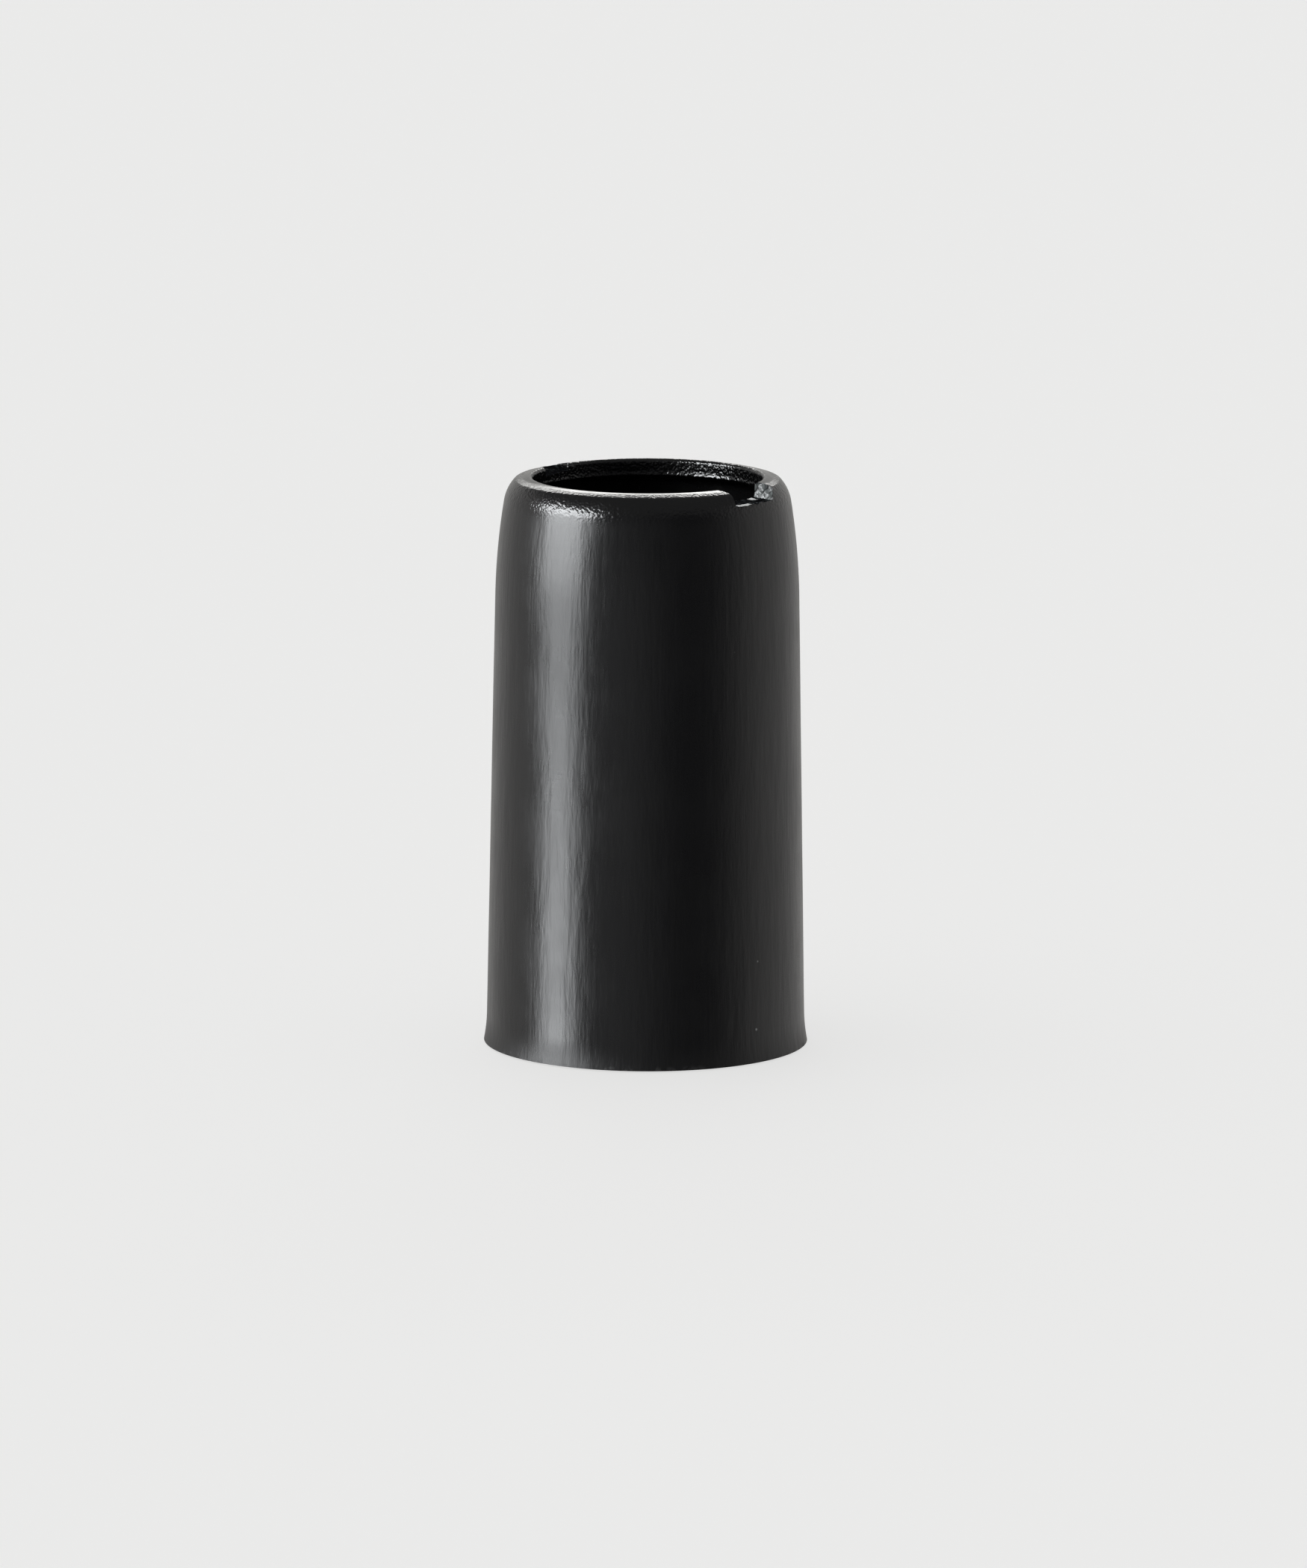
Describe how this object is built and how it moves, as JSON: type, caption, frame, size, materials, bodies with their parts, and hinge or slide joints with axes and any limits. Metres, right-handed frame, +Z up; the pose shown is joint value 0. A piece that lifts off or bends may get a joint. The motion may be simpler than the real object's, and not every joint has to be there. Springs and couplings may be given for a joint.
{
  "type": "candle jar",
  "caption": "Empty black moulded candle jar, flared at the foot, with a notched inward lip and a lift-out glass liner.",
  "frame": {"origin": "centre of the foot ring's underside, on the jar's axis", "axes": "+Z up along the jar's axis, through the mouth; -Y is the side seen with the first gate notch on its right"},
  "size_m": [0.0567, 0.0568, 0.1003],
  "materials": {
    "sleeve_plastic": "semi-gloss black moulded plastic with light orange peel",
    "base_plastic": "satin black moulded plastic",
    "liner_glass": "clear pressed glass",
    "cushion_silicone": "grey silicone sponge",
    "foot_rubber": "matt black rubber"
  },
  "bodies": {
    "jar": {"outer_sleeve": "sleeve_plastic", "base_plug": "base_plastic", "cushion_ring": "cushion_silicone", "foot_ring": "foot_rubber"},
    "liner": {"glass_liner": "liner_glass"}
  },
  "joints": [
    {"name": "liner_lift", "type": "slide", "parent": "jar", "child": "liner", "axis": [0, 0, 1], "range_m": [0, 0.1]}
  ]
}
